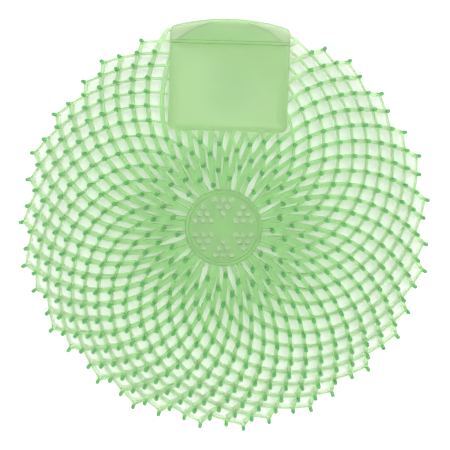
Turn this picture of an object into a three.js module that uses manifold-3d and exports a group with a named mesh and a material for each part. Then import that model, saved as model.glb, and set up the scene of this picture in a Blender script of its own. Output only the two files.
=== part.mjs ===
import * as THREE from "three";
import { mergeVertices } from "three/addons/utils/BufferGeometryUtils.js";
import Module from "manifold-3d";

// A urinal deodorizer screen: one piece of soft moulded EVA, 179 mm across, that lies in the bowl.
// Round a perforated hub, two families of spiral ribs cross like the seeds of a sunflower head. Every
// crossing carries a pin that stands up against splashes and a short stub under it that lifts the
// screen off the bowl. A plain plate with a raised border breaks the lattice at one side: the tab by
// which the screen is picked up. Millimetres, +Z up, the origin on the floor under the hub's centre,
// +Y towards the tab.

// Lattice, seen from above. Crossings are numbered outwards, each turned from the one before it.
const LATTICE_RADIUS = 88.5; // from the centre to the outermost crossing
const FIRST_CROSSING = 16; // the first one lies under the hub's rim
const LAST_CROSSING = 645;
const CENTRE_CROSSING = 1.65; // the number at which the spacing law reaches the centre
const CROWDING = 0.038; // how much closer the crossings lie at the rim than an even spread
const DIVERGENCE_DEG = 137.5032; // clockwise turn from one crossing to the next
const START_DEG = 45.34; // direction of crossing 0
const CLOCKWISE_RIBS = 55; // ribs that turn clockwise on their way out
const COUNTER_RIBS = 34; // ribs that turn the other way

// Heights, from the floor up
const STUB_HEIGHT = 2; // from the floor to the ribs' lower edge
const RIB_HEIGHT = 3.8;
const PIN_HEIGHT = 5; // above the ribs
const PLATE_PROUD = 0.2; // how far the hub and the tab stand over the ribs, above and below

// Pins
const PIN_RADIUS = 0.72;
const FIRST_PIN = 31; // the innermost crossings have no pin
const PIN_CLEAR_OF_TAB = 4.2; // crossings nearer to the tab have no pin
const STUB_SPACING = 6; // one crossing in so many has its stub here

// Hub
const HUB_RADIUS = 16.2;
const HUB_RIM_WIDTH = 1.4;
const HUB_RIM_HEIGHT = 0.4; // above the hub's face
const HUB_SEGMENTS = 36;
const HOLE_PITCH = 3.45;
const HOLE_RADIUS = 0.95;
const HOLE_ROWS = 3; // 1, 2 and 3 holes in a wedge
const HOLE_WEDGES = 6;
const FIRST_ROW_RADIUS = 6.1; // from the hub's centre to the first hole of a wedge
const HOLE_SIDES = 5;

// Tab
const TAB_TURN_DEG = 1.9; // clockwise from +Y
const TAB_OFFSET = 0.8; // to the right of the centre line
const TAB_WIDTH = 51.6;
const TAB_START = 41.8; // from the centre to the tab's inner edge
const TAB_ARC_RADIUS = 89.4; // its outer edge follows the screen's outline
const TAB_CORNER = 2.6; // rounding of the corners
const TAB_BORDER = 2.4; // width of the raised border
const TAB_RECESS = 0.5; // depth of the panel inside the border
const TAB_STEP_LINE = 78.6; // from the centre to the step between panel and outer strip
const ARC_STEPS = 12;
const CORNER_STEPS = 3;

const FLOOR = 0;
const RIB_BOTTOM = FLOOR + STUB_HEIGHT;
const RIB_TOP = RIB_BOTTOM + RIB_HEIGHT;
const PIN_TOP = RIB_TOP + PIN_HEIGHT;
const PLATE_BOTTOM = RIB_BOTTOM - PLATE_PROUD;
const PLATE_TOP = RIB_TOP + PLATE_PROUD;
const CUT_OVERSHOOT = 1; // a cutting solid runs this far past the face that it opens

const wasm = await Module();
wasm.setup();

function toSolid(geometry) {
  const bare = geometry.index ? geometry.clone() : mergeVertices(geometry);
  bare.deleteAttribute("normal");
  bare.deleteAttribute("uv");
  const merged = mergeVertices(bare, 1e-4);
  return new wasm.Manifold(
    new wasm.Mesh({
      numProp: 3,
      vertProperties: merged.attributes.position.array,
      triVerts: new Uint32Array(merged.index.array),
    }),
  );
}

function toGeometry(solid) {
  const mesh = solid.getMesh();
  const geometry = new THREE.BufferGeometry();
  geometry.setAttribute("position", new THREE.BufferAttribute(mesh.vertProperties, mesh.numProp));
  geometry.setIndex(new THREE.BufferAttribute(mesh.triVerts, 1));
  return geometry;
}

// The spiral law: distance and direction from the centre for a crossing's number.
function crossingRadius(number) {
  const share = (number - CENTRE_CROSSING) / (LAST_CROSSING - CENTRE_CROSSING);
  return LATTICE_RADIUS * Math.sqrt(share * (1 + CROWDING * (1 - share)));
}

function crossingAngle(number) {
  return THREE.MathUtils.degToRad(START_DEG - DIVERGENCE_DEG * number);
}

// The small turn that is left when a rib has gone from one of its crossings to the next.
function ribTurn(step) {
  const turn = THREE.MathUtils.degToRad(-DIVERGENCE_DEG * step);
  return Math.atan2(Math.sin(turn), Math.cos(turn));
}

// A point on the rib through a crossing, a share of the way to its next crossing.
function pointOnRib(number, step, share) {
  const radius = crossingRadius(number + step * share);
  const angle = crossingAngle(number) + ribTurn(step) * share;
  return new THREE.Vector2(radius * Math.cos(angle), radius * Math.sin(angle));
}

// The tab's outline, in its own frame with +Y along the tab: a rectangle with rounded corners, whose
// outer edge is an arc round the screen's centre.
function tabOutline() {
  const left = TAB_OFFSET - TAB_WIDTH / 2 + TAB_CORNER;
  const right = TAB_OFFSET + TAB_WIDTH / 2 - TAB_CORNER;
  const near = TAB_START + TAB_CORNER;
  const bend = TAB_ARC_RADIUS - TAB_CORNER;
  const nearLeft = new THREE.Vector2(left, near);
  const nearRight = new THREE.Vector2(right, near);
  const farRight = new THREE.Vector2(right, Math.sqrt(bend ** 2 - right ** 2));
  const farLeft = new THREE.Vector2(left, Math.sqrt(bend ** 2 - left ** 2));
  const points = [];
  const addArc = (centre, radius, from, to, steps) => {
    for (let i = 0; i <= steps; i++) {
      const angle = from + ((to - from) * i) / steps;
      points.push(new THREE.Vector2(Math.cos(angle), Math.sin(angle)).multiplyScalar(radius).add(centre));
    }
  };
  addArc(nearLeft, TAB_CORNER, -Math.PI, -Math.PI / 2, CORNER_STEPS);
  addArc(nearRight, TAB_CORNER, -Math.PI / 2, 0, CORNER_STEPS);
  addArc(farRight, TAB_CORNER, 0, farRight.angle(), CORNER_STEPS);
  addArc(new THREE.Vector2(), TAB_ARC_RADIUS, farRight.angle(), farLeft.angle(), ARC_STEPS);
  addArc(farLeft, TAB_CORNER, farLeft.angle(), Math.PI, CORNER_STEPS);
  return points;
}

const tabTurn = THREE.MathUtils.degToRad(-TAB_TURN_DEG);

function toTabFrame(point) {
  return point.clone().rotateAround(new THREE.Vector2(), -tabTurn);
}

// How far a point lies outside the tab: negative inside.
function distanceToTab(point) {
  const local = toTabFrame(point);
  const side = Math.abs(local.x - TAB_OFFSET) - TAB_WIDTH / 2;
  const ends = Math.max(TAB_START - local.y, local.length() - TAB_ARC_RADIUS);
  return side > 0 && ends > 0 ? Math.hypot(side, ends) : Math.max(side, ends);
}

// The crossings and what joins them. Each has four arms, counter-clockwise from its clockwise rib's
// way out. An arm without a mate is one where the rib ends.
const ARM_STEPS = [CLOCKWISE_RIBS, COUNTER_RIBS, -CLOCKWISE_RIBS, -COUNTER_RIBS];
const ARMS = ARM_STEPS.length;
const NEAR_SHARE = 0.2; // how far along a rib its direction is taken where it has no next crossing
const opposite = (arm) => (arm + 2) % ARMS;

function makeCrossings() {
  const crossings = new Map();
  for (let number = FIRST_CROSSING; number <= LAST_CROSSING; number++) {
    const place = pointOnRib(number, CLOCKWISE_RIBS, 0);
    const clear = distanceToTab(place);
    crossings.set(number, {
      place,
      buried: clear < 0,
      hasPin: number >= FIRST_PIN && clear > PIN_CLEAR_OF_TAB,
      hasStub: number >= FIRST_PIN && clear > PIN_CLEAR_OF_TAB && number % STUB_SPACING === 0,
      mates: [null, null, null, null],
      directions: ARM_STEPS.map((step) => pointOnRib(number, step, NEAR_SHARE).sub(place)),
    });
  }
  const join = (from, to, arm) => {
    from.mates[arm] = to;
    to.mates[opposite(arm)] = from;
    from.directions[arm] = to.place.clone().sub(from.place);
    to.directions[opposite(arm)] = from.place.clone().sub(to.place);
  };
  for (const [number, from] of crossings) {
    for (const arm of [0, 1]) {
      const to = crossings.get(number + ARM_STEPS[arm]);
      if (to && !(from.buried && to.buried)) join(from, to, arm);
    }
  }
  // The counter-clockwise ribs run on into the hub, all to one depth.
  const rootNumber = FIRST_CROSSING - 3;
  for (let number = FIRST_CROSSING; number < FIRST_CROSSING + COUNTER_RIBS; number++) {
    const start = crossings.get(number);
    const place = pointOnRib(number, -COUNTER_RIBS, (number - rootNumber) / COUNTER_RIBS);
    const outward = start.place.clone().sub(place);
    const root = {
      place,
      buried: false,
      hasPin: false,
      hasStub: false,
      mates: [null, null, null, null],
      directions: [-1, 0, 1, 2].map((quarter) =>
        outward.clone().rotateAround(new THREE.Vector2(), (quarter * Math.PI) / 2),
      ),
    };
    crossings.set(`root ${number}`, root);
    join(root, start, 1);
  }
  for (const [number, crossing] of crossings)
    if (crossing.mates.every((mate) => mate === null)) crossings.delete(number);
  return [...crossings.values()];
}

// The lattice as one closed mesh. On top, a crossing is a quad whose corners stand in the angles
// between its arms, with the pin rising from it. The ribs run from quad to quad and narrow
// downwards to an edge.
function latticeGeometry(crossings) {
  const positions = [];
  const faces = [];
  const addVertex = (x, y, z) => positions.push(x, y, z) / 3 - 1;
  const addQuad = (a, b, c, d) => faces.push(a, b, c, a, c, d);
  const before = (arm) => (arm + ARMS - 1) % ARMS;
  const after = (arm) => (arm + 1) % ARMS;

  for (const crossing of crossings) {
    const { place, directions } = crossing;
    const angles = directions.map((direction) => direction.angle());
    const onCircle = (angle, height) =>
      addVertex(place.x + PIN_RADIUS * Math.cos(angle), place.y + PIN_RADIUS * Math.sin(angle), height);
    crossing.corners = angles.map((angle, arm) => {
      const gap = THREE.MathUtils.euclideanModulo(angles[after(arm)] - angle, 2 * Math.PI);
      return onCircle(angle + gap / 2, RIB_TOP);
    });
    const edge = crossing.hasStub ? null : addVertex(place.x, place.y, RIB_BOTTOM);
    crossing.edges = angles.map((angle) => edge ?? onCircle(angle, RIB_BOTTOM));
    if (crossing.hasPin) {
      const tip = addVertex(place.x, place.y, PIN_TOP);
      crossing.corners.forEach((corner, arm) => faces.push(corner, crossing.corners[after(arm)], tip));
    } else {
      addQuad(...crossing.corners);
    }
    if (crossing.hasStub) {
      const tip = addVertex(place.x, place.y, FLOOR);
      crossing.edges.forEach((here, arm) => {
        const next = crossing.edges[after(arm)];
        faces.push(crossing.corners[arm], here, next);
        faces.push(next, here, tip);
      });
    }
  }

  for (const crossing of crossings) {
    crossing.mates.forEach((mate, arm) => {
      const left = crossing.corners[arm];
      const right = crossing.corners[before(arm)];
      const edge = crossing.edges[arm];
      if (!mate) {
        faces.push(left, right, edge);
      } else if (arm < 2) {
        const back = opposite(arm);
        const farLeft = mate.corners[before(back)];
        const farRight = mate.corners[back];
        addQuad(right, farRight, farLeft, left);
        addQuad(left, farLeft, mate.edges[back], edge);
        addQuad(farRight, right, edge, mate.edges[back]);
      }
    });
  }

  const geometry = new THREE.BufferGeometry();
  geometry.setAttribute("position", new THREE.Float32BufferAttribute(positions, 3));
  geometry.setIndex(faces);
  return geometry;
}

// The hub is turned: a disc with a raised rim.
function hubGeometry() {
  const face = HUB_RADIUS - HUB_RIM_WIDTH;
  const profile = [
    [0, PLATE_BOTTOM],
    [HUB_RADIUS, PLATE_BOTTOM],
    [HUB_RADIUS, PLATE_TOP + HUB_RIM_HEIGHT],
    [face, PLATE_TOP + HUB_RIM_HEIGHT],
    [face, PLATE_TOP],
    [0, PLATE_TOP],
  ].map(([radius, height]) => new THREE.Vector2(radius, height));
  return new THREE.LatheGeometry(profile, HUB_SEGMENTS).rotateX(Math.PI / 2);
}

function extrudeUp(shape, from, to) {
  const geometry = new THREE.ExtrudeGeometry(shape, { depth: to - from, bevelEnabled: false });
  return geometry.translate(0, 0, from);
}

// The holes of the hub stand in six wedges, on a hexagonal pitch, with bare bands between the wedges.
function hubHoles() {
  const holes = [];
  const rowDepth = HOLE_PITCH * Math.sin(Math.PI / 3);
  for (let wedge = 0; wedge < HOLE_WEDGES; wedge++) {
    const turn = (wedge / HOLE_WEDGES) * 2 * Math.PI;
    for (let row = 0; row < HOLE_ROWS; row++) {
      for (let i = 0; i <= row; i++) {
        const place = new THREE.Vector2((i - row / 2) * HOLE_PITCH, FIRST_ROW_RADIUS + row * rowDepth);
        place.rotateAround(new THREE.Vector2(), turn);
        const outline = [];
        for (let side = 0; side < HOLE_SIDES; side++) {
          const angle = (side / HOLE_SIDES) * 2 * Math.PI;
          outline.push(new THREE.Vector2(Math.cos(angle), Math.sin(angle)).multiplyScalar(HOLE_RADIUS).add(place));
        }
        holes.push(
          extrudeUp(new THREE.Shape(outline), PLATE_BOTTOM - CUT_OVERSHOOT, PLATE_TOP + CUT_OVERSHOOT),
        );
      }
    }
  }
  return holes;
}

// The tab's panel is sunk inside a border, up to the step before the outer strip.
function tabPanel() {
  const left = TAB_OFFSET - TAB_WIDTH / 2 + TAB_BORDER;
  const right = TAB_OFFSET + TAB_WIDTH / 2 - TAB_BORDER;
  const near = TAB_START + TAB_BORDER;
  return new THREE.Shape([
    new THREE.Vector2(left, near),
    new THREE.Vector2(right, near),
    new THREE.Vector2(right, TAB_STEP_LINE),
    new THREE.Vector2(left, TAB_STEP_LINE),
  ]);
}

function inTabPlace(geometry) {
  return toSolid(geometry.rotateZ(tabTurn));
}

const lattice = toSolid(latticeGeometry(makeCrossings()));
const hub = toSolid(hubGeometry());
const tab = inTabPlace(extrudeUp(new THREE.Shape(tabOutline()), PLATE_BOTTOM, PLATE_TOP));
const recess = inTabPlace(extrudeUp(tabPanel(), PLATE_TOP - TAB_RECESS, PLATE_TOP + CUT_OVERSHOOT));
let screenSolid = lattice.add(hub).add(tab).subtract(recess);
for (const hole of hubHoles()) screenSolid = screenSolid.subtract(toSolid(hole));

// Translucent light green EVA, satin from the mould.
const screenMaterial = new THREE.MeshStandardMaterial({ color: 0xa2cf8f, roughness: 0.45, metalness: 0 });

const screen = new THREE.Mesh(toGeometry(screenSolid), screenMaterial);
screen.name = "screen";

const group = new THREE.Group();
group.add(screen);

export default group;
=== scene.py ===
# %% [markdown]
# # A urinal deodorizer screen
# The real thing is one soft moulding of light green EVA. Thin ribs cross in two sets of spirals, as
# the seeds of a sunflower do, and a pin stands at nearly every crossing. A perforated hub closes the
# middle and a plain tab breaks the lattice at one side. Because it is one moulding, everything here
# is joined into a single mesh: light that enters such plastic has to meet no wall inside it.
#
# The frame comes first. It holds the imported model at its real place and size.

# %% Load the frame
import math

import bmesh
import bpy
from mathutils import Matrix, Vector


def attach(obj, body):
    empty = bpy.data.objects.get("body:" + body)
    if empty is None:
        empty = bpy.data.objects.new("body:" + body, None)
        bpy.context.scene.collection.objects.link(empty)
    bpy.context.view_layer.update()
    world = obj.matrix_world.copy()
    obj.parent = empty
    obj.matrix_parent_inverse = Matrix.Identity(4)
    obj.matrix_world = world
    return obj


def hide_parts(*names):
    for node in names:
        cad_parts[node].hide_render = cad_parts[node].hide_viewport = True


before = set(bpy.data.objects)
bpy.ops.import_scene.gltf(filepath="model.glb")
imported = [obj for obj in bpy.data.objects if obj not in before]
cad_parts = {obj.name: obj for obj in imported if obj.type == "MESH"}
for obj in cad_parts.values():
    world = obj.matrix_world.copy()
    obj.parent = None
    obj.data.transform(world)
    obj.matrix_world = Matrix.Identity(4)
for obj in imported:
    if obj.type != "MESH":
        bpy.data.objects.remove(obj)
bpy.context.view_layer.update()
MM = 0.001

# %% [markdown]
# ## Sizes
# Crossings are numbered from the centre out. Each is turned by nearly the golden angle from the one
# before, so two sets of spirals appear by themselves: every 55th crossing lies on one clockwise rib,
# and every 34th on one counter-clockwise rib. The heights that several features share stand here
# too, and other sizes stand where they are first used. Lengths are in millimetres until they reach
# a mesh. The lattice is drawn a hair smaller than the solid's, so that the wider pins at its rim
# stay inside the solid's box.

# %% Name the shared sizes
LATTICE_RADIUS = 88.28
FIRST_CROSSING = 16
LAST_CROSSING = 645
CENTRE_CROSSING = 1.65
CROWDING = 0.038
DIVERGENCE = math.radians(137.5032)
START = math.radians(45.34)
CLOCKWISE_RIBS = 55
COUNTER_RIBS = 34
ROOT_CROSSING = 13
FIRST_PIN = 31

RIB_BOTTOM = 2.0
RIB_TOP = 5.8
PIN_TOP = 10.8
PLATE_BOTTOM = 1.8
PLATE_TOP = 6.0
OVERSHOOT = 1.0
print("pins on", LAST_CROSSING - FIRST_PIN + 1, "crossings, less those near the tab")

# %% [markdown]
# ## Camera
# The photograph looks almost straight down. The pins lean away from one point in the picture, which
# is the point right under the lens: here it lies a little above the hub and to its right. The
# picture was trimmed off centre, so the lens has a small shift.

# %% Set up the camera
CAMERA_PLACE = Vector((7.93, 37.79, 300.0)) * MM
CAMERA_TURN = (-0.08419, 0.03381, -0.00054)
PICTURE_PIXELS = 450
FOCAL_PIXELS = 685.6
AXIS_PIXEL = (218.69, 198.13)

camera_data = bpy.data.cameras.new("camera")
camera_data.sensor_width = 36.0
camera_data.lens = camera_data.sensor_width * FOCAL_PIXELS / PICTURE_PIXELS
camera_data.shift_x = 0.5 - AXIS_PIXEL[0] / PICTURE_PIXELS
camera_data.shift_y = AXIS_PIXEL[1] / PICTURE_PIXELS - 0.5
camera = bpy.data.objects.new("camera", camera_data)
camera.location = CAMERA_PLACE
camera.rotation_euler = CAMERA_TURN
bpy.context.scene.collection.objects.link(camera)
bpy.context.scene.camera = camera
print("lens", round(camera_data.lens, 1), "mm")

# %% [markdown]
# ## One helper for node trees
# Geometry trees and materials are both built here by one small function. It adds a node, fills its
# inputs in order (a socket is linked, a plain value is typed in, None is left alone), and sets its
# options.

# %% Define the node helper
def add_node(tree, kind, *values, **options):
    node = tree.nodes.new(kind)
    for name, option in options.items():
        setattr(node, name, option)
    enabled = [socket for socket in node.inputs if socket.enabled]
    for socket, value in zip(enabled, values):
        if isinstance(value, bpy.types.NodeSocket):
            tree.links.new(value, socket)
        elif value is not None:
            socket.default_value = value
    return node


def add_inputs(tree, kinds):
    for name, kind in kinds.items():
        tree.interface.new_socket(name, in_out="INPUT", socket_type=kind)
    return add_node(tree, "NodeGroupInput").outputs


# %% [markdown]
# ## The spiral law
# Both the pins and the ribs ask the same question: where is crossing number n, or the point a given
# share of the way along the rib that leaves it? A node group answers it once. The distance from the
# centre grows with the square root of the number, which spreads the crossings evenly over the disc.

# %% Build the spiral law as a node group
law = bpy.data.node_groups.new("spiral_law", "GeometryNodeTree")
given = add_inputs(law, {
    "Crossing": "NodeSocketFloat",
    "Along": "NodeSocketFloat",
    "Step": "NodeSocketFloat",
    "Turn": "NodeSocketFloat",
    "Lattice radius": "NodeSocketFloat",
    "Last crossing": "NodeSocketFloat",
})
law.interface.new_socket("Place", in_out="OUTPUT", socket_type="NodeSocketVector")
reached = add_node(law, "ShaderNodeMath", given["Along"], given["Step"], given["Crossing"],
                   operation="MULTIPLY_ADD").outputs[0]
share = add_node(law, "ShaderNodeMapRange", reached, CENTRE_CROSSING, given["Last crossing"], 0.0, 1.0,
                 clamp=False).outputs[0]
rest = add_node(law, "ShaderNodeMath", 1.0, share, operation="SUBTRACT").outputs[0]
stretch = add_node(law, "ShaderNodeMath", rest, CROWDING, 1.0, operation="MULTIPLY_ADD").outputs[0]
squared = add_node(law, "ShaderNodeMath", share, stretch, operation="MULTIPLY").outputs[0]
root = add_node(law, "ShaderNodeMath", squared, operation="SQRT").outputs[0]
distance = add_node(law, "ShaderNodeMath", root, given["Lattice radius"], operation="MULTIPLY").outputs[0]
own_angle = add_node(law, "ShaderNodeMath", given["Crossing"], -DIVERGENCE, START,
                     operation="MULTIPLY_ADD").outputs[0]
angle = add_node(law, "ShaderNodeMath", given["Along"], given["Turn"], own_angle,
                 operation="MULTIPLY_ADD").outputs[0]
arm = add_node(law, "ShaderNodeCombineXYZ", distance, 0.0, 0.0).outputs[0]
turned = add_node(law, "ShaderNodeVectorRotate", arm, None, angle, rotation_type="Z_AXIS").outputs[0]
add_node(law, "NodeGroupOutput", turned)
print("spiral law:", len(law.nodes), "nodes")

# %% [markdown]
# ## The pin
# The pin is one rod turned on its axis, which runs from the floor to its tip: its lower end is the
# stub that the screen stands on. It could be a cylinder with bevels, but a turned profile gives both
# rounded ends in a few dozen faces, and there are hundreds of pins.

# %% Make the pin
def new_piece(name, mesh):
    """An object made from a mesh, or from a bmesh, whose faces are first turned outwards."""
    if isinstance(mesh, bmesh.types.BMesh):
        draft = mesh
        bmesh.ops.recalc_face_normals(draft, faces=draft.faces)
        mesh = bpy.data.meshes.new(name)
        draft.to_mesh(mesh)
        draft.free()
    piece = bpy.data.objects.new(name, mesh)
    bpy.context.scene.collection.objects.link(piece)
    return piece


def turned_solid(profile, sides):
    """A closed solid of (radius, height) rings in mm; a radius of 0 is a pole."""
    bm = bmesh.new()
    rings = []
    for radius, height in profile:
        count = sides if radius > 0 else 1
        rings.append([
            bm.verts.new((radius * MM * math.cos(a), radius * MM * math.sin(a), height * MM))
            for a in (2 * math.pi * i / count for i in range(count))
        ])
    for low, high in zip(rings, rings[1:]):
        for i in range(sides):
            corners = [ring[j % len(ring)] for ring, j in ((low, i), (low, i + 1), (high, i + 1), (high, i))]
            bm.faces.new(list(dict.fromkeys(corners)))  # at a pole two corners are one
    return bm


PIN_RADIUS = 0.88
PIN_SIDES = 10
FOOT_RADIUS = 0.6
FOOT_HEIGHT = 0.25
FOOT_ROUNDING = 0.9
TIP_ROUNDING = 0.5
pin_shape = new_piece("pin_shape", turned_solid([
    (0, 0),
    (FOOT_RADIUS, FOOT_HEIGHT),
    (PIN_RADIUS, FOOT_ROUNDING),
    (PIN_RADIUS, PIN_TOP - TIP_ROUNDING),
    (PIN_RADIUS * 0.8, PIN_TOP - TIP_ROUNDING * 0.3),
    (PIN_RADIUS * 0.45, PIN_TOP),
    (0, PIN_TOP),
], PIN_SIDES))
print("pin faces", len(pin_shape.data.polygons))

# %% [markdown]
# ## The rib
# A rib is a thin upright wall with rounded edges. One short bar serves for all of them: it is a metre
# long and a millimetre thick, so that its scale is simply the gap between two crossings in metres
# and the wall in millimetres.

# %% Make the rib
RIB_EDGE = 0.16
HALF_WALL = 0.5
HALF_LENGTH = 0.5
section = [
    (HALF_WALL, RIB_BOTTOM + RIB_EDGE), (HALF_WALL, RIB_TOP - RIB_EDGE),
    (HALF_WALL - RIB_EDGE, RIB_TOP), (-HALF_WALL + RIB_EDGE, RIB_TOP),
    (-HALF_WALL, RIB_TOP - RIB_EDGE), (-HALF_WALL, RIB_BOTTOM + RIB_EDGE),
    (-HALF_WALL + RIB_EDGE, RIB_BOTTOM), (HALF_WALL - RIB_EDGE, RIB_BOTTOM),
]
bar = bmesh.new()
ends = [[bar.verts.new((x, y * MM, z * MM)) for y, z in section] for x in (-HALF_LENGTH, HALF_LENGTH)]
for i in range(len(section)):
    after = (i + 1) % len(section)
    bar.faces.new((ends[0][i], ends[0][after], ends[1][after], ends[1][i]))
bar.faces.new(ends[0])
bar.faces.new(ends[1])
rib_shape = new_piece("rib_shape", bar)
print("rib faces", len(rib_shape.data.polygons))

# %% [markdown]
# ## The tab
# The tab is what the fingers lift the screen by. It is a plate whose outer edge follows the disc's
# own outline, so its outline is drawn as a row of arcs. The outline is lifted through a few levels,
# each of which can be a little smaller than it is: that rounds an edge or slopes a wall.

# %% Make the tab's plate
def extruded_solid(outline, levels):
    """A closed solid of one outline in mm; a level is its height and its inset from the outline."""
    bm = bmesh.new()
    points = [Vector(p) for p in outline]
    count = len(points)
    normals = []
    for i in range(count):
        along = (points[(i + 1) % count] - points[i]).normalized() + (points[i] - points[i - 1]).normalized()
        normals.append(Vector((along.y, -along.x)).normalized())
    rings = [
        [bm.verts.new((*((p - n * inset) * MM), height * MM)) for p, n in zip(points, normals)]
        for height, inset in levels
    ]
    for low, high in zip(rings, rings[1:]):
        for i in range(count):
            bm.faces.new((low[i], low[(i + 1) % count], high[(i + 1) % count], high[i]))
    bm.faces.new(rings[0][::-1])
    bm.faces.new(rings[-1])
    return bm


def arc(centre, radius, start, end, steps):
    return [
        (centre[0] + radius * math.cos(a), centre[1] + radius * math.sin(a))
        for a in (start + (end - start) * i / steps for i in range(steps + 1))
    ]


TAB_TURN = math.radians(-1.9)
TAB_OFFSET = 0.15
TAB_WIDTH = 50.8
TAB_START = 41.8
TAB_ARC_RADIUS = 88.95
TAB_CORNER = 2.6
TAB_EDGE = 0.45
EDGE_BEND = TAB_EDGE * 0.3
CORNER_STEPS = 6
ARCH_STEPS = 40
QUARTER = math.pi / 2

tab_left = TAB_OFFSET - TAB_WIDTH / 2
tab_right = TAB_OFFSET + TAB_WIDTH / 2
bend = TAB_ARC_RADIUS - TAB_CORNER
corner_left = Vector((tab_left + TAB_CORNER, math.sqrt(bend**2 - (tab_left + TAB_CORNER) ** 2)))
corner_right = Vector((tab_right - TAB_CORNER, math.sqrt(bend**2 - (tab_right - TAB_CORNER) ** 2)))
angle_left = math.atan2(corner_left.y, corner_left.x)
angle_right = math.atan2(corner_right.y, corner_right.x)
near = TAB_START + TAB_CORNER
tab_outline = (
    arc((tab_left + TAB_CORNER, near), TAB_CORNER, -2 * QUARTER, -QUARTER, CORNER_STEPS)
    + arc((tab_right - TAB_CORNER, near), TAB_CORNER, -QUARTER, 0, CORNER_STEPS)
    + arc(corner_right, TAB_CORNER, 0, angle_right, CORNER_STEPS)
    + arc((0, 0), TAB_ARC_RADIUS, angle_right, angle_left, ARCH_STEPS)[1:-1]
    + arc(corner_left, TAB_CORNER, angle_left, 2 * QUARTER, CORNER_STEPS)
)
tab = new_piece("tab_shape", extruded_solid(tab_outline, [
    (PLATE_BOTTOM, TAB_EDGE), (PLATE_BOTTOM + EDGE_BEND, EDGE_BEND), (PLATE_BOTTOM + TAB_EDGE, 0),
    (PLATE_TOP - TAB_EDGE, 0), (PLATE_TOP - EDGE_BEND, EDGE_BEND), (PLATE_TOP, TAB_EDGE),
]))
print("tab outline points", len(tab_outline))

# %% [markdown]
# ## The tab's relief
# A low ridge runs across the tab. Below it the panel is sunk a little, with soft slopes at its sides.
# Above it the outer strip is full only inside a flat arc, the lens, which stands a little proud, and
# the strip's two corners are pockets. Thicker plastic looks deeper in colour, so this relief of a
# millimetre or two is what makes the tab's darker and paler fields.

# %% Make the ridge, the lens and the cutters
TAB_BORDER = 2.4
TAB_RECESS = 0.6
PANEL_SLOPE = 2.0
TAB_STEP_LINE = 78.3
RIDGE_WIDTH = 1.4
RIDGE_HEIGHT = 0.7
RIDGE_EDGE = 0.4
LENS_RADIUS = 33.7
LENS_TOP = 88.1
LENS_HEIGHT = 0.5
LENS_EDGE = 0.1
LENS_STEPS = 36
SUNK_ROOT = 1.0
POCKET_DEPTH = 2.4
POCKET_EDGE = 1.0
POCKET_SLOPE = 0.3
POCKET_TIP = math.radians(78)
POCKET_STEPS = 12


def rounded_box(left, right, near, far, corner):
    return (
        arc((left + corner, near + corner), corner, -2 * QUARTER, -QUARTER, CORNER_STEPS)
        + arc((right - corner, near + corner), corner, -QUARTER, 0, CORNER_STEPS)
        + arc((right - corner, far - corner), corner, 0, QUARTER, CORNER_STEPS)
        + arc((left + corner, far - corner), corner, QUARTER, 2 * QUARTER, CORNER_STEPS)
    )


panel_outline = rounded_box(
    tab_left + TAB_BORDER, tab_right - TAB_BORDER, TAB_START + TAB_BORDER, TAB_STEP_LINE, PANEL_SLOPE
)
panel_cutter = new_piece("panel_cutter", extruded_solid(
    panel_outline,
    [(PLATE_TOP - TAB_RECESS, PANEL_SLOPE), (PLATE_TOP, 0), (PLATE_TOP + OVERSHOOT, 0)],
))

strip_start = TAB_STEP_LINE + RIDGE_WIDTH
ridge_ends = (tab_left + RIDGE_EDGE, tab_right - RIDGE_EDGE)
ridge = new_piece("ridge_shape", extruded_solid(
    [(ridge_ends[0], TAB_STEP_LINE), (ridge_ends[1], TAB_STEP_LINE),
     (ridge_ends[1], strip_start), (ridge_ends[0], strip_start)],
    [(PLATE_TOP - SUNK_ROOT, 0), (PLATE_TOP + RIDGE_HEIGHT - RIDGE_EDGE, 0),
     (PLATE_TOP + RIDGE_HEIGHT, RIDGE_EDGE)],
))

lens_centre = Vector((TAB_OFFSET, LENS_TOP - LENS_RADIUS))
lens_start = math.asin((strip_start - lens_centre.y) / LENS_RADIUS)
lens = new_piece("lens_shape", extruded_solid(
    arc(lens_centre, LENS_RADIUS, lens_start, math.pi - lens_start, LENS_STEPS),
    [(PLATE_TOP - SUNK_ROOT, 0), (PLATE_TOP + LENS_HEIGHT - LENS_EDGE, 0),
     (PLATE_TOP + LENS_HEIGHT, LENS_EDGE)],
))

pocket_radius = TAB_ARC_RADIUS - POCKET_EDGE
pocket_cutters = []
for side in (-1, 1):
    edge = side * TAB_OFFSET + TAB_WIDTH / 2 - POCKET_EDGE
    along_lens = arc((side * TAB_OFFSET, lens_centre.y), LENS_RADIUS, POCKET_TIP, lens_start, POCKET_STEPS)
    rim_start = math.acos(edge / pocket_radius)
    rim_end = math.atan2(along_lens[0][1], along_lens[0][0])
    along_rim = arc((0, 0), pocket_radius, rim_start, rim_end, POCKET_STEPS)[:-1]
    outline = along_lens + [(edge, strip_start)] + along_rim
    pocket_cutters.append(new_piece("pocket_cutter", extruded_solid(
        [(side * x, y) for x, y in outline[::-side]],
        [(PLATE_TOP - POCKET_DEPTH, POCKET_SLOPE), (PLATE_TOP, 0), (PLATE_TOP + OVERSHOOT, 0)],
    )))

for piece in (tab, ridge, lens, panel_cutter, *pocket_cutters):
    piece.data.transform(Matrix.Rotation(TAB_TURN, 4, "Z"))
print("ridge from", TAB_STEP_LINE, "to", strip_start, "mm from the centre")

# %% [markdown]
# ## The hub and its holes
# The hub is a turned disc with a low rim. Its 36 drain holes stand in six wedges of three rows, one
# hole in the first row, two in the second and three in the third. One cutter is shaped here, and a
# small mesh of loose points says where its copies go.

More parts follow.
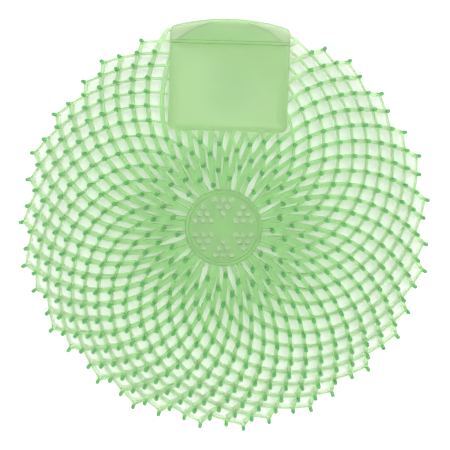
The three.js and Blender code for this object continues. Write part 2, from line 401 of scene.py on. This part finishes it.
# %% Make the hub, the hole cutter and the places of the holes
HUB_RADIUS = 16.7
HUB_RIM_WIDTH = 1.9
HUB_RIM_HEIGHT = 0.4
HUB_EDGE = 0.3
HUB_SIDES = 96
rim_top = PLATE_TOP + HUB_RIM_HEIGHT
hub = new_piece("hub_shape", turned_solid([
    (0, PLATE_BOTTOM),
    (HUB_RADIUS - HUB_EDGE, PLATE_BOTTOM),
    (HUB_RADIUS, PLATE_BOTTOM + HUB_EDGE),
    (HUB_RADIUS, rim_top - HUB_EDGE),
    (HUB_RADIUS - HUB_EDGE, rim_top),
    (HUB_RADIUS - HUB_RIM_WIDTH + HUB_EDGE, rim_top),
    (HUB_RADIUS - HUB_RIM_WIDTH, PLATE_TOP),
    (0, PLATE_TOP),
], HUB_SIDES))

HOLE_RADIUS = 1.25
HOLE_SIDES = 16
HOLE_PITCH = 3.45
FIRST_ROW_RADIUS = 6.1
HOLE_ROWS = 3
HOLE_WEDGES = 6
hole_cutter = new_piece("hole_cutter", turned_solid([
    (0, PLATE_BOTTOM - OVERSHOOT),
    (HOLE_RADIUS, PLATE_BOTTOM - OVERSHOOT),
    (HOLE_RADIUS, PLATE_TOP + OVERSHOOT),
    (0, PLATE_TOP + OVERSHOOT),
], HOLE_SIDES))
places = []
for wedge in range(HOLE_WEDGES):
    turn = Matrix.Rotation(wedge * 2 * math.pi / HOLE_WEDGES, 4, "Z")
    for row in range(HOLE_ROWS):
        for i in range(row + 1):
            x = (i - row / 2) * HOLE_PITCH
            y = FIRST_ROW_RADIUS + row * HOLE_PITCH * math.sin(math.pi / 3)
            places.append(turn @ Vector((x, y, 0)) * MM)
hole_mesh = bpy.data.meshes.new("hole_places")
hole_mesh.from_pydata(places, [], [])
hole_places = new_piece("hole_places", hole_mesh)
print("drain holes", len(places))

# %% [markdown]
# ## The plastic
# Ethylene-vinyl acetate, EVA, is a soft and slightly waxy plastic. Fragrance is mixed into it before
# it is injected into the mould, and it comes out with a satin skin. It is dyed right through, so a
# thin wall looks pale and a thick one deep green: volume absorption gives that by itself. The base
# colour adds what thickness alone doesn't. The pins are drawn cooler than the ribs, because their
# tips scatter the light of the sky. The hub is drawn a little deeper in colour, and so is the middle
# of the tab's panel. The ribs carry painted side light in their base colour: from 55 mm out they turn
# paler towards the rim, as if more light fell in there from the sides.

# %% Make the plastic
def linear(hex_colour):
    """An sRGB hex colour as the linear values that a colour socket takes."""
    parts = [int(hex_colour[i:i + 2], 16) / 255 for i in (0, 2, 4)]
    return (*(p / 12.92 if p <= 0.04045 else ((p + 0.055) / 1.055) ** 2.4 for p in parts), 1.0)


DYE = linear("A9E763")
DYE_PER_METRE = 250.0
ON_THE_HUB = linear("E8F2E0")
# Painted side light: the ribs' tint fades from this deeper green near the hub to almost white at the rim.
NEAR_THE_HUB = linear("EDFDE6")
RIM_PAINTED_SIDE_LIGHT = linear("FDFFFC")
ON_THE_PINS = linear("B0F9D2")
ON_THE_TAB = linear("F3F2ED")
TAB_MIDDLE = linear("E8EDE3")
HUB_MARGIN = 1
# The span over which the painted side light makes the ribs paler towards the rim.
PAINTED_SIDE_LIGHT_SPAN = (55 * MM, 85 * MM)
PIN_FADE = (7.1 * MM, 8.1 * MM)
MIDDLE_FADE = (5 * MM, 14 * MM)

eva = bpy.data.materials.new("injection moulded EVA, light green")
eva.use_nodes = True
skin = eva.node_tree
skin.nodes.clear()


def blend(share, colour, other):
    return add_node(skin, "ShaderNodeMix", share, colour, other, data_type="RGBA").outputs[2]


def fade(value, span):
    return add_node(skin, "ShaderNodeMapRange", value, *span, 0.0, 1.0).outputs[0]


def skin_math(operation, *values):
    return add_node(skin, "ShaderNodeMath", *values, operation=operation).outputs[0]


place = add_node(skin, "ShaderNodeTexCoord").outputs["Object"]
height = add_node(skin, "ShaderNodeSeparateXYZ", place).outputs[2]
from_hub = add_node(skin, "ShaderNodeVectorMath", place, operation="LENGTH").outputs[1]
off_hub = skin_math("GREATER_THAN", from_hub, (HUB_RADIUS + HUB_MARGIN) * MM)
# Tint of the hub and the ribs; on the ribs it holds painted side light, paler towards the rim.
tint_with_painted_side_light = blend(off_hub, ON_THE_HUB, blend(fade(from_hub, PAINTED_SIDE_LIGHT_SPAN), NEAR_THE_HUB, RIM_PAINTED_SIDE_LIGHT))

tab_place = add_node(skin, "ShaderNodeVectorRotate", place, None, -TAB_TURN,
                     rotation_type="Z_AXIS").outputs[0]
tab_x, tab_y, _ = add_node(skin, "ShaderNodeSeparateXYZ", tab_place).outputs
aside = skin_math("ABSOLUTE", skin_math("SUBTRACT", tab_x, TAB_OFFSET * MM))
between = skin_math("LESS_THAN", aside, TAB_WIDTH / 2 * MM)
beyond = skin_math("GREATER_THAN", tab_y, TAB_START * MM)
on_tab = skin_math("MULTIPLY", between, beyond)
panel_middle = Vector((TAB_OFFSET, (TAB_START + TAB_STEP_LINE) / 2, PLATE_TOP)) * MM
to_middle = add_node(skin, "ShaderNodeVectorMath", tab_place, panel_middle, operation="DISTANCE").outputs[1]
tab_tint = blend(fade(to_middle, MIDDLE_FADE), TAB_MIDDLE, ON_THE_TAB)

tint = blend(fade(height, PIN_FADE), blend(on_tab, tint_with_painted_side_light, tab_tint), ON_THE_PINS)
body = add_node(skin, "ShaderNodeBsdfPrincipled", tint)
body.inputs["Roughness"].default_value = 0.3
body.inputs["Transmission Weight"].default_value = 0.9
body.inputs["IOR"].default_value = 1.4
dye = add_node(skin, "ShaderNodeVolumeAbsorption", DYE, DYE_PER_METRE)
output = add_node(skin, "ShaderNodeOutputMaterial", body.outputs[0])
skin.links.new(dye.outputs[0], output.inputs["Volume"])
print(eva.name, "with", len(skin.nodes), "nodes")

# %% [markdown]
# ## The lattice by Geometry Nodes
# The pins and the ribs follow one law, so a node tree makes them all. Points are numbered, put in
# place by the spiral law, and get an instance each. Its sizes, shapes and material are named inputs,
# so that the same tree would make a larger screen or another pin.

# %% Start the lattice tree
tree = bpy.data.node_groups.new("spiral_lattice", "GeometryNodeTree")
settings = {
    "Lattice radius": LATTICE_RADIUS,
    "Last crossing": float(LAST_CROSSING),
    "First pin": FIRST_PIN,
    "Pin shape": pin_shape,
    "Rib shape": rib_shape,
    "Hub": hub,
    "Tab": tab,
    "Ridge": ridge,
    "Lens": lens,
    "Panel cutter": panel_cutter,
    "Left pocket cutter": pocket_cutters[0],
    "Right pocket cutter": pocket_cutters[1],
    "Hole cutter": hole_cutter,
    "Hole places": hole_places,
    "Material": eva,
}
SOCKETS = {
    float: "NodeSocketFloat",
    int: "NodeSocketInt",
    bpy.types.Object: "NodeSocketObject",
    bpy.types.Material: "NodeSocketMaterial",
}
inputs = add_inputs(tree, {name: SOCKETS[type(value)] for name, value in settings.items()})
tree.interface.new_socket("Geometry", in_out="OUTPUT", socket_type="NodeSocketGeometry")


def tree_math(operation, *values):
    return add_node(tree, "ShaderNodeMath", *values, operation=operation).outputs[0]


def spiral_place(crossing, along=0.0, step=0.0, turn=0.0):
    """The place in mm of a crossing, or of the point a share of the way along a rib from it."""
    return add_node(tree, "GeometryNodeGroup", crossing, along, step, turn,
                    inputs["Lattice radius"], inputs["Last crossing"], node_tree=law).outputs[0]


def shape_of(name, apart=False):
    """A shape's mesh, or an instance of it, which a boolean takes as a solid apart from the others."""
    return add_node(tree, "GeometryNodeObjectInfo", inputs[name], apart).outputs["Geometry"]


print("named inputs", len(settings))

# %% [markdown]
# ## Pins on the crossings
# Every crossing from the first pin outwards gets a pin, apart from those too near the tab, where the
# mould has plain plate. The distance to the tab is worked out for all points at once by the tree.

# %% Stand the pins
PIN_CLEAR_OF_TAB = 3.8
PIN_CLEAR_BESIDE_TAB = 5.1


def clear_of_tab(place, beside=0.0):
    """How far a place lies outside the tab, in mm, if the tab were wider by so much on each side."""
    local = add_node(tree, "ShaderNodeVectorRotate", place, None, -TAB_TURN,
                     rotation_type="Z_AXIS").outputs[0]
    x, y, _ = add_node(tree, "ShaderNodeSeparateXYZ", local).outputs
    aside = tree_math("ABSOLUTE", tree_math("SUBTRACT", x, TAB_OFFSET))
    aside = tree_math("SUBTRACT", aside, TAB_WIDTH / 2 + beside)
    length = add_node(tree, "ShaderNodeVectorMath", local, operation="LENGTH").outputs[1]
    past_start = tree_math("SUBTRACT", TAB_START, y)
    past_arch = tree_math("SUBTRACT", length, TAB_ARC_RADIUS)
    return tree_math("MAXIMUM", aside, tree_math("MAXIMUM", past_start, past_arch))


index = add_node(tree, "GeometryNodeInputIndex").outputs[0]


def numbered_points(first, last):
    """Points numbered from first to last, all at the centre for now, and their numbers."""
    number = tree_math("ADD", index, first)
    count = tree_math("ADD", tree_math("SUBTRACT", last, first), 1.0)
    return add_node(tree, "GeometryNodePoints", count).outputs[0], number


def stand(points, place, keep, shape, turn=None, scale=None):
    """Instances of a shape at the places in mm, where keep is true."""
    metres = add_node(tree, "ShaderNodeVectorMath", place, MM, operation="SCALE").outputs[0]
    placed = add_node(tree, "GeometryNodeSetPosition", points, None, metres).outputs[0]
    copies = add_node(tree, "GeometryNodeInstanceOnPoints", placed, keep, shape, None, None, turn, scale)
    return copies.outputs[0]


pin_points, pin_number = numbered_points(inputs["First pin"], inputs["Last crossing"])
pin_place = spiral_place(pin_number)
pin_clear = clear_of_tab(pin_place, PIN_CLEAR_BESIDE_TAB - PIN_CLEAR_OF_TAB)
has_pin = tree_math("GREATER_THAN", pin_clear, PIN_CLEAR_OF_TAB)
lattice_parts = [stand(pin_points, pin_place, has_pin, shape_of("Pin shape"))]
print("lattice tree with pins:", len(tree.nodes), "nodes")

# %% [markdown]
# ## Ribs between the crossings
# A rib could be a curve swept through all its crossings. Short straight bars are simpler: each runs
# from its crossing inwards to the next one on the same spiral, 55 or 34 numbers lower. The clockwise
# ribs are the thicker ones, and all ribs thicken towards the hub, where the plastic entered.

# %% Lay the ribs
CLOCKWISE_WALL = 1.5
COUNTER_WALL = 0.9
THICKER_AT_HUB = 1.6
THICKER_WITHIN = 60.0
RIB_OVERLAP = 0.3


def rib_turn(step):
    """The small angle that is left over when the golden turn has been made step times."""
    turn = math.fmod(DIVERGENCE * step, 2 * math.pi)
    return turn - 2 * math.pi if turn > math.pi else turn


for count, first, wall in (
    (CLOCKWISE_RIBS, FIRST_CROSSING + CLOCKWISE_RIBS, CLOCKWISE_WALL),
    (COUNTER_RIBS, FIRST_CROSSING, COUNTER_WALL),
):
    rib_points, rib_number = numbered_points(first, inputs["Last crossing"])
    outer = spiral_place(rib_number)
    along = tree_math("DIVIDE", tree_math("SUBTRACT", rib_number, ROOT_CROSSING), count)
    inner = spiral_place(rib_number, tree_math("MINIMUM", along, 1.0), -count, rib_turn(count))
    middle = add_node(tree, "ShaderNodeMix", 0.5, outer, inner, data_type="VECTOR").outputs[1]
    gap = add_node(tree, "ShaderNodeVectorMath", outer, inner, operation="SUBTRACT").outputs[0]
    length = add_node(tree, "ShaderNodeVectorMath", gap, operation="LENGTH").outputs[1]
    length = tree_math("MULTIPLY", tree_math("ADD", length, RIB_OVERLAP), MM)
    distance = add_node(tree, "ShaderNodeVectorMath", middle, operation="LENGTH").outputs[1]
    thickness = add_node(tree, "ShaderNodeMapRange", distance, HUB_RADIUS, THICKER_WITHIN,
                         THICKER_AT_HUB * wall, wall).outputs[0]
    scale = add_node(tree, "ShaderNodeCombineXYZ", length, thickness, 1.0).outputs[0]
    facing = add_node(tree, "FunctionNodeAlignRotationToVector", None, 1.0, gap,
                      axis="X", pivot_axis="Z").outputs[0]
    outside = tree_math("MAXIMUM", clear_of_tab(outer), clear_of_tab(inner))
    shown = tree_math("GREATER_THAN", outside, 0.0)
    lattice_parts.append(stand(rib_points, middle, shown, shape_of("Rib shape"), facing, scale))
print("lattice tree with ribs:", len(tree.nodes), "nodes")

# %% [markdown]
# ## One moulding from many parts
# Overlapping solids would leave walls inside the plastic, and light would show each of them. So the
# pins, the ribs and the plain parts are united by a boolean, which takes every instance as a solid of
# its own. A second boolean takes away the sunk panel, the pockets and the holes. The manifold solver
# does all of it in a second or two and leaves a closed mesh.

# %% Unite the parts and cut the openings
join = add_node(tree, "GeometryNodeJoinGeometry")
for part in lattice_parts + [shape_of(name, apart=True) for name in ("Hub", "Tab", "Ridge", "Lens")]:
    tree.links.new(part, join.inputs[0])
united = add_node(tree, "GeometryNodeMeshBoolean", operation="UNION", solver="MANIFOLD")
tree.links.new(join.outputs[0], united.inputs["Mesh 2"])

holes = add_node(tree, "GeometryNodeInstanceOnPoints", shape_of("Hole places"), None,
                 shape_of("Hole cutter")).outputs[0]
cut = add_node(tree, "GeometryNodeMeshBoolean", operation="DIFFERENCE", solver="MANIFOLD")
tree.links.new(united.outputs[0], cut.inputs["Mesh 1"])
tree.links.new(holes, cut.inputs["Mesh 2"])
for cutter in ("Panel cutter", "Left pocket cutter", "Right pocket cutter"):
    tree.links.new(shape_of(cutter), cut.inputs["Mesh 2"])
realised = add_node(tree, "GeometryNodeRealizeInstances", cut.outputs[0]).outputs[0]
dressed = add_node(tree, "GeometryNodeSetMaterial", realised, None, inputs["Material"]).outputs[0]
add_node(tree, "NodeGroupOutput", dressed)
print("whole lattice tree:", len(tree.nodes), "nodes")

# %% [markdown]
# ## From the tree to a plain mesh
# The finished piece is a plain mesh, so the tree is evaluated once and its result is kept. Smooth
# shading then hides the flat sides of the pins and the arches, while edges sharper than 40 degrees
# stay crisp.

# %% Make the mesh and give it to the frame
SMOOTH_BELOW = math.radians(40)
moulding = new_piece("screen_visual", bpy.data.meshes.new("screen_visual"))
modifier = moulding.modifiers.new("spiral lattice", "NODES")
modifier.node_group = tree
for item in tree.interface.items_tree:
    if item.in_out == "INPUT":
        modifier[item.identifier] = settings[item.name]
depsgraph = bpy.context.evaluated_depsgraph_get()
plain = bpy.data.meshes.new_from_object(moulding.evaluated_get(depsgraph), depsgraph=depsgraph)
moulding.modifiers.clear()
moulding.data = plain
for helper in settings.values():
    if isinstance(helper, bpy.types.Object):
        bpy.data.objects.remove(helper)
plain.shade_smooth()
plain.set_sharp_from_angle(angle=SMOOTH_BELOW)
plain.calc_loop_triangles()
print(len(plain.polygons), "faces,", len(plain.loop_triangles), "triangles")

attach(moulding, "root")
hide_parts("screen")

# %% [markdown]
# ## The floor
# The photograph has a white sheet under the screen, bright enough to lose its own edges and with
# hardly a shadow. A matt white sheet that is faintly lit from below does the same, and it lets the
# pale holes in the hub show.

# %% Lay the floor
FLOOR_HALF = 1.5
FLOOR_GLOW = 0.09
floor_mesh = bmesh.new()
bmesh.ops.create_grid(floor_mesh, x_segments=1, y_segments=1, size=FLOOR_HALF)
floor = new_piece("floor", floor_mesh)
opal = bpy.data.materials.new("opal acrylic sheet, faintly lit from below")
opal.use_nodes = True
sheet = opal.node_tree.nodes["Principled BSDF"].inputs
sheet["Base Color"].default_value = linear("F8F8F8")
sheet["Roughness"].default_value = 0.9
sheet["Emission Color"].default_value = linear("FFFFFF")
sheet["Emission Strength"].default_value = FLOOR_GLOW
floor.data.materials.append(opal)
print("floor", 2 * FLOOR_HALF, "m wide")

# %% [markdown]
# ## The light
# A studio with a lit ceiling gives soft light that is stronger overhead than at the horizon. The
# world does that with one gradient over the height of the view direction. One large soft box adds
# the faint highlights on the rims and the pins.

# %% Light the stage and finish
SKY_AT_HORIZON = 0.55
SKY_OVERHEAD = 1.7
LAMP_PLACE = Vector((0.3, 0.6, 1.2))
LAMP_SIZE = 0.8
LAMP_WATTS = 7.0

scene = bpy.context.scene
scene.view_settings.view_transform = "Standard"
world = bpy.data.worlds.new("studio")
scene.world = world
world.use_nodes = True
sky = world.node_tree
direction = add_node(sky, "ShaderNodeTexCoord").outputs["Generated"]
upward = add_node(sky, "ShaderNodeSeparateXYZ", direction).outputs[2]
brightness = add_node(sky, "ShaderNodeMapRange", upward, 0.0, 1.0, SKY_AT_HORIZON, SKY_OVERHEAD).outputs[0]
sky.nodes["Background"].inputs["Color"].default_value = linear("FFFFFF")
sky.links.new(brightness, sky.nodes["Background"].inputs["Strength"])

lamp_data = bpy.data.lights.new("soft box", "AREA")
lamp_data.shape = "SQUARE"
lamp_data.size = LAMP_SIZE
lamp_data.energy = LAMP_WATTS
lamp = bpy.data.objects.new("soft box", lamp_data)
lamp.location = LAMP_PLACE
lamp.rotation_euler = (-LAMP_PLACE).to_track_quat("-Z", "Y").to_euler()
scene.collection.objects.link(lamp)
